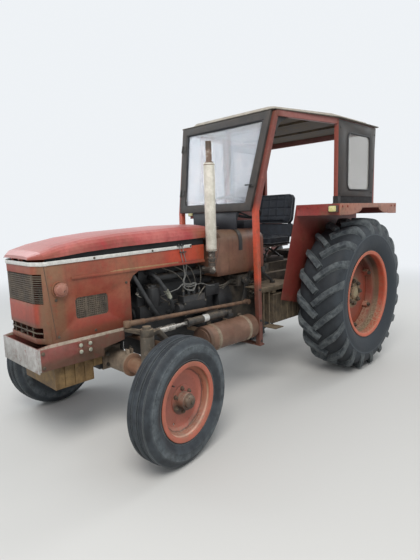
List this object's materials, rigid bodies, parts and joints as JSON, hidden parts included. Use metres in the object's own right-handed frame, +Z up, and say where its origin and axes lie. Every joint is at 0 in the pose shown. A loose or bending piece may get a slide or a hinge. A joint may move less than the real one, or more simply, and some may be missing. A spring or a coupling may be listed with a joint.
{
  "type": "vintage tractor",
  "caption": "Old red farm tractor with a weather cab, open engine sides, front weights, steered front wheels, lifting bonnet and rear three-point hitch.",
  "frame": {"origin": "on the floor, at the middle of the tractor's box", "axes": "+Z up, front towards -Y, the driver's left at +X"},
  "size_m": [1.69, 3.4334, 2.196],
  "materials": {
    "paint_red": "faded and rusty",
    "bonnet_paint": "faded gloss",
    "rim_paint": "faded",
    "engine_black": "oily",
    "casting_brown": "dusty",
    "tyre_black": "dusty",
    "trim_metal": "dull",
    "grille_steel": "rusty",
    "tank_rust": "rusty",
    "dark_panel": "matt",
    "silencer": "chalky with rust",
    "air_tank_rust": "rusty",
    "box_brown": "dirty",
    "cab_grey": "matt primer",
    "cab_red": "faded",
    "glass": "clear",
    "roof_grey": "weathered",
    "seat_black": "worn",
    "black_metal": "matt",
    "hose_rubber": "dusty",
    "lamp_body": "faded",
    "bright_steel": "polished",
    "wheel_black": "worn",
    "rod_rust": "rusty"
  },
  "bodies": {
    "chassis": {"engine": "engine_black", "engine_gear": "engine_black", "gearbox": "casting_brown", "front_axle": "casting_brown", "front_support": "engine_black", "bumper_frame": "paint_red", "front_weights": "casting_brown", "radiator": "engine_black", "side_panels": "paint_red", "nose": "paint_red", "grille": "grille_steel", "trim": "trim_metal", "fuel_tank": "tank_rust", "dashboard": "dark_panel", "exhaust": "silencer", "air_tank": "air_tank_rust", "battery_box": "box_brown", "footplates": "box_brown", "fenders": "paint_red", "cab_frame": "cab_red", "cab_panels": "cab_grey", "cab_glass": "glass", "cab_roof": "roof_grey", "seat_base": "black_metal", "seat_cushion": "seat_black", "seat_back": "seat_black", "controls": "black_metal", "hoses": "hose_rubber", "lamps": "lamp_body", "drawbar": "casting_brown", "pto_shaft": "bright_steel"},
    "bonnet": {"bonnet": "bonnet_paint"},
    "steering_wheel": {"steering_wheel": "wheel_black"},
    "knuckle_l": {"knuckle_l": "casting_brown"},
    "knuckle_r": {"knuckle_r": "casting_brown"},
    "tie_rod": {"tie_rod": "rod_rust"},
    "drag_link": {"drag_link": "rod_rust"},
    "drop_arm": {"drop_arm": "black_metal"},
    "ram_body": {"ram_body": "black_metal"},
    "ram_rod": {"ram_rod": "bright_steel"},
    "front_wheel_l": {"front_rim_l": "rim_paint", "front_tyre_l": "tyre_black"},
    "front_wheel_r": {"front_rim_r": "rim_paint", "front_tyre_r": "tyre_black"},
    "rear_wheel_l": {"rear_rim_l": "rim_paint", "rear_tyre_l": "tyre_black"},
    "rear_wheel_r": {"rear_rim_r": "rim_paint", "rear_tyre_r": "tyre_black"},
    "lower_links": {"lower_links": "casting_brown"},
    "lift_arms": {"lift_arms": "casting_brown"},
    "lift_rods": {"lift_rods": "rod_rust"}
  },
  "joints": [
    {"name": "bonnet_hinge", "type": "hinge", "parent": "chassis", "child": "bonnet", "pos_m": [0, -1.69023, 1.188], "axis": [1, 0, 0], "range_deg": [0, 65]},
    {"name": "steer_left", "type": "hinge", "parent": "chassis", "child": "knuckle_l", "pos_m": [0.46, -1.15423, 0.49], "axis": [0, 0, 1], "range_deg": [-43.5, 26.5]},
    {"name": "steer_right", "type": "hinge", "parent": "chassis", "child": "knuckle_r", "pos_m": [-0.46, -1.15423, 0.49], "axis": [0, 0, 1], "range_deg": [-43.5, 26.5]},
    {"name": "tie_rod_pivot", "type": "hinge", "parent": "knuckle_l", "child": "tie_rod", "pos_m": [0.43635, -0.99598, 0.6], "axis": [0, 0, 1], "range_deg": [-26.5, 43.5]},
    {"name": "drag_link_pivot", "type": "hinge", "parent": "knuckle_l", "child": "drag_link", "pos_m": [0.29681, -1.17861, 0.735], "axis": [0, 0, 1], "range_deg": [-26.5, 43.5]},
    {"name": "drop_arm_pivot", "type": "hinge", "parent": "chassis", "child": "drop_arm", "pos_m": [0.25, 0.00077, 0.868], "axis": [1, 0, 0], "range_deg": [-26.5, 43.5]},
    {"name": "steering_wheel_turn", "type": "hinge", "parent": "chassis", "child": "steering_wheel", "pos_m": [0, 0.21077, 1.45], "axis": [0, 0.4226, 0.9063], "range_deg": [-609.01, 371.01]},
    {"name": "ram_swing", "type": "hinge", "parent": "chassis", "child": "ram_body", "pos_m": [0.352, -0.31923, 0.684], "axis": [0, 0, 1], "range_deg": [-2.76, 4.53]},
    {"name": "ram_slide", "type": "slide", "parent": "ram_body", "child": "ram_rod", "axis": [0.0123, -0.9999, 0], "range_m": [-0.05695, 0.0347]},
    {"name": "front_left_spin", "type": "hinge", "parent": "knuckle_l", "child": "front_wheel_l", "pos_m": [0.69736, -1.11875, 0.365], "axis": [0.989, 0.1478, 0], "continuous": true},
    {"name": "front_right_spin", "type": "hinge", "parent": "knuckle_r", "child": "front_wheel_r", "pos_m": [-0.69736, -1.1897, 0.365], "axis": [0.989, 0.1478, 0], "continuous": true},
    {"name": "rear_left_spin", "type": "hinge", "parent": "chassis", "child": "rear_wheel_l", "pos_m": [0.655, 1.01077, 0.667], "axis": [1, 0, 0], "continuous": true},
    {"name": "rear_right_spin", "type": "hinge", "parent": "chassis", "child": "rear_wheel_r", "pos_m": [-0.655, 1.01077, 0.667], "axis": [1, 0, 0], "continuous": true},
    {"name": "link_lift", "type": "hinge", "parent": "chassis", "child": "lower_links", "pos_m": [0, 1.07077, 0.43], "axis": [1, 0, 0], "range_deg": [0, 42]},
    {"name": "lift_arm_turn", "type": "hinge", "parent": "chassis", "child": "lift_arms", "pos_m": [0, 1.03077, 0.96], "axis": [1, 0, 0], "range_deg": [0, 42]},
    {"name": "lift_rod_pivot", "type": "hinge", "parent": "lower_links", "child": "lift_rods", "pos_m": [0, 1.34466, 0.37178], "axis": [1, 0, 0], "range_deg": [-42, 0]}
  ],
  "couplings": [
    {"joint": "steer_right", "follows": "steer_left", "ratio": 1},
    {"joint": "tie_rod_pivot", "follows": "steer_left", "ratio": -1},
    {"joint": "drag_link_pivot", "follows": "steer_left", "ratio": -1},
    {"joint": "drop_arm_pivot", "follows": "steer_left", "ratio": -1},
    {"joint": "steering_wheel_turn", "follows": "steer_left", "ratio": 14},
    {"joint": "ram_swing", "follows": "steer_left", "ratio": -0.104},
    {"joint": "ram_slide", "follows": "steer_left", "m_per_rad": 0.075},
    {"joint": "lift_arm_turn", "follows": "link_lift", "ratio": 1},
    {"joint": "lift_rod_pivot", "follows": "link_lift", "ratio": -1}
  ]
}
